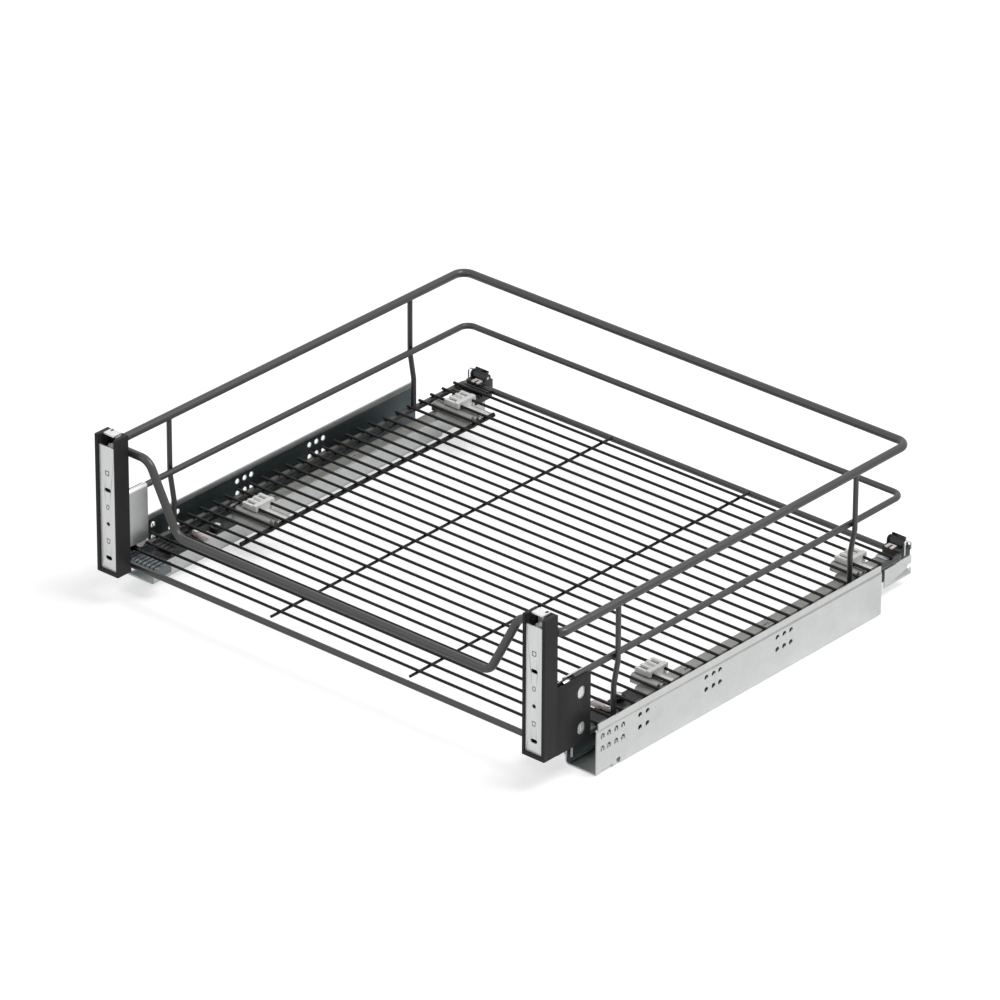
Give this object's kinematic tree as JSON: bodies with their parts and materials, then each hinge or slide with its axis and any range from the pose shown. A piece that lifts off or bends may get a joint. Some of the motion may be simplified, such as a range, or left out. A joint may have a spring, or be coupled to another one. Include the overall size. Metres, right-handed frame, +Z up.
{
  "type": "pull-out wire drawer",
  "caption": "Wire-basket pull-out drawer with a dipped front rail, on galvanised full-extension undermount runners, with upright front-fixing brackets.",
  "frame": {"origin": "on the cabinet floor, midway across the width and the depth of the closed drawer", "axes": "+X to the right seen from the front, -Y towards the user, +Z up"},
  "size_m": [0.568, 0.5166, 0.171],
  "materials": {
    "galvanised": "smooth galvanised sheet",
    "powder_coat": "anthracite powder coat, satin",
    "black_steel": "black coated steel, satin",
    "zinc_plate": "bright zinc plate",
    "white_plastic": "moulded white plastic",
    "cage_plastic": "natural moulded plastic",
    "pale_plastic": "moulded pale plastic",
    "black_plastic": "moulded black plastic",
    "bright_steel": "bright steel"
  },
  "bodies": {
    "cabinet": {"cabinet_rail_left": "galvanised", "cabinet_rail_right": "galvanised"},
    "middle_left": {"middle_rail_left": "galvanised"},
    "lower_cage_left": {"lower_cage_left": "cage_plastic", "lower_rollers_left": "cage_plastic"},
    "upper_cage_left": {"upper_cage_left": "cage_plastic", "upper_rollers_left": "cage_plastic"},
    "release_lever_left": {"release_lever_left": "pale_plastic"},
    "height_wheel_left": {"height_wheel_left": "black_plastic"},
    "clamp_flap_left": {"clamp_flap_left": "black_plastic"},
    "middle_right": {"middle_rail_right": "galvanised"},
    "lower_cage_right": {"lower_cage_right": "cage_plastic", "lower_rollers_right": "cage_plastic"},
    "upper_cage_right": {"upper_cage_right": "cage_plastic", "upper_rollers_right": "cage_plastic"},
    "release_lever_right": {"release_lever_right": "pale_plastic"},
    "height_wheel_right": {"height_wheel_right": "black_plastic"},
    "clamp_flap_right": {"clamp_flap_right": "black_plastic"},
    "drawer": {"drawer_rail_left": "galvanised", "drawer_rail_right": "galvanised", "rear_bracket_left": "galvanised", "rear_bracket_right": "galvanised", "saddles": "galvanised", "inner_plate_left": "galvanised", "inner_plate_right": "galvanised", "lock_tongue_left": "galvanised", "lock_tongue_right": "galvanised", "top_rail": "powder_coat", "front_rail": "powder_coat", "mid_rail": "powder_coat", "base_frame": "powder_coat", "struts": "powder_coat", "floor_wires": "powder_coat", "thick_bar": "powder_coat", "thin_bars": "powder_coat", "edge_wire": "powder_coat", "housing_left": "black_steel", "housing_right": "black_steel", "arm_left": "black_steel", "arm_right": "black_steel", "front_plate_left": "zinc_plate", "front_plate_right": "zinc_plate", "lock_hooks": "zinc_plate", "lock_screws": "zinc_plate", "arm_adjusters": "zinc_plate", "clip_front_left": "white_plastic", "clip_front_right": "white_plastic", "clip_rear_left": "white_plastic", "clip_rear_right": "white_plastic", "clamp_inserts": "pale_plastic", "lock_base_left": "black_plastic", "lock_base_right": "black_plastic", "clamp_left": "black_plastic", "clamp_right": "black_plastic", "lock_pins": "bright_steel", "clamp_pins": "bright_steel", "clamp_bails": "bright_steel"}
  },
  "joints": [
    {"name": "drawer_slide", "type": "slide", "parent": "cabinet", "child": "drawer", "axis": [0, -1, 0], "range_m": [0, 0.4]},
    {"name": "middle_left_slide", "type": "slide", "parent": "cabinet", "child": "middle_left", "axis": [0, -1, 0], "range_m": [0, 0.2]},
    {"name": "lower_cage_left_slide", "type": "slide", "parent": "cabinet", "child": "lower_cage_left", "axis": [0, -1, 0], "range_m": [0, 0.1]},
    {"name": "upper_cage_left_slide", "type": "slide", "parent": "cabinet", "child": "upper_cage_left", "axis": [0, -1, 0], "range_m": [0, 0.3]},
    {"name": "release_lever_left_pivot", "type": "hinge", "parent": "drawer", "child": "release_lever_left", "pos_m": [-0.248, -0.1477, 0.0318], "axis": [0, 0, -1], "range_deg": [0, 12], "stiffness_Nm_per_rad": 0.05},
    {"name": "height_wheel_left_turn", "type": "hinge", "parent": "drawer", "child": "height_wheel_left", "pos_m": [-0.24175, -0.1282, 0.032], "axis": [0, 0, 1], "range_deg": [0, 300]},
    {"name": "clamp_flap_left_pivot", "type": "hinge", "parent": "drawer", "child": "clamp_flap_left", "pos_m": [-0.2535, 0.2513, 0.0414], "axis": [-1, 0, 0], "range_deg": [0, 70]},
    {"name": "middle_right_slide", "type": "slide", "parent": "cabinet", "child": "middle_right", "axis": [0, -1, 0], "range_m": [0, 0.2]},
    {"name": "lower_cage_right_slide", "type": "slide", "parent": "cabinet", "child": "lower_cage_right", "axis": [0, -1, 0], "range_m": [0, 0.1]},
    {"name": "upper_cage_right_slide", "type": "slide", "parent": "cabinet", "child": "upper_cage_right", "axis": [0, -1, 0], "range_m": [0, 0.3]},
    {"name": "release_lever_right_pivot", "type": "hinge", "parent": "drawer", "child": "release_lever_right", "pos_m": [0.248, -0.1477, 0.0318], "axis": [0, 0, 1], "range_deg": [0, 12], "stiffness_Nm_per_rad": 0.05},
    {"name": "height_wheel_right_turn", "type": "hinge", "parent": "drawer", "child": "height_wheel_right", "pos_m": [0.24175, -0.1282, 0.032], "axis": [0, 0, 1], "range_deg": [0, 300]},
    {"name": "clamp_flap_right_pivot", "type": "hinge", "parent": "drawer", "child": "clamp_flap_right", "pos_m": [0.2535, 0.2513, 0.0414], "axis": [-1, 0, 0], "range_deg": [0, 70]}
  ],
  "couplings": [
    {"joint": "middle_left_slide", "follows": "drawer_slide", "ratio": 0.5},
    {"joint": "lower_cage_left_slide", "follows": "drawer_slide", "ratio": 0.25},
    {"joint": "upper_cage_left_slide", "follows": "drawer_slide", "ratio": 0.75},
    {"joint": "middle_right_slide", "follows": "drawer_slide", "ratio": 0.5},
    {"joint": "lower_cage_right_slide", "follows": "drawer_slide", "ratio": 0.25},
    {"joint": "upper_cage_right_slide", "follows": "drawer_slide", "ratio": 0.75}
  ]
}
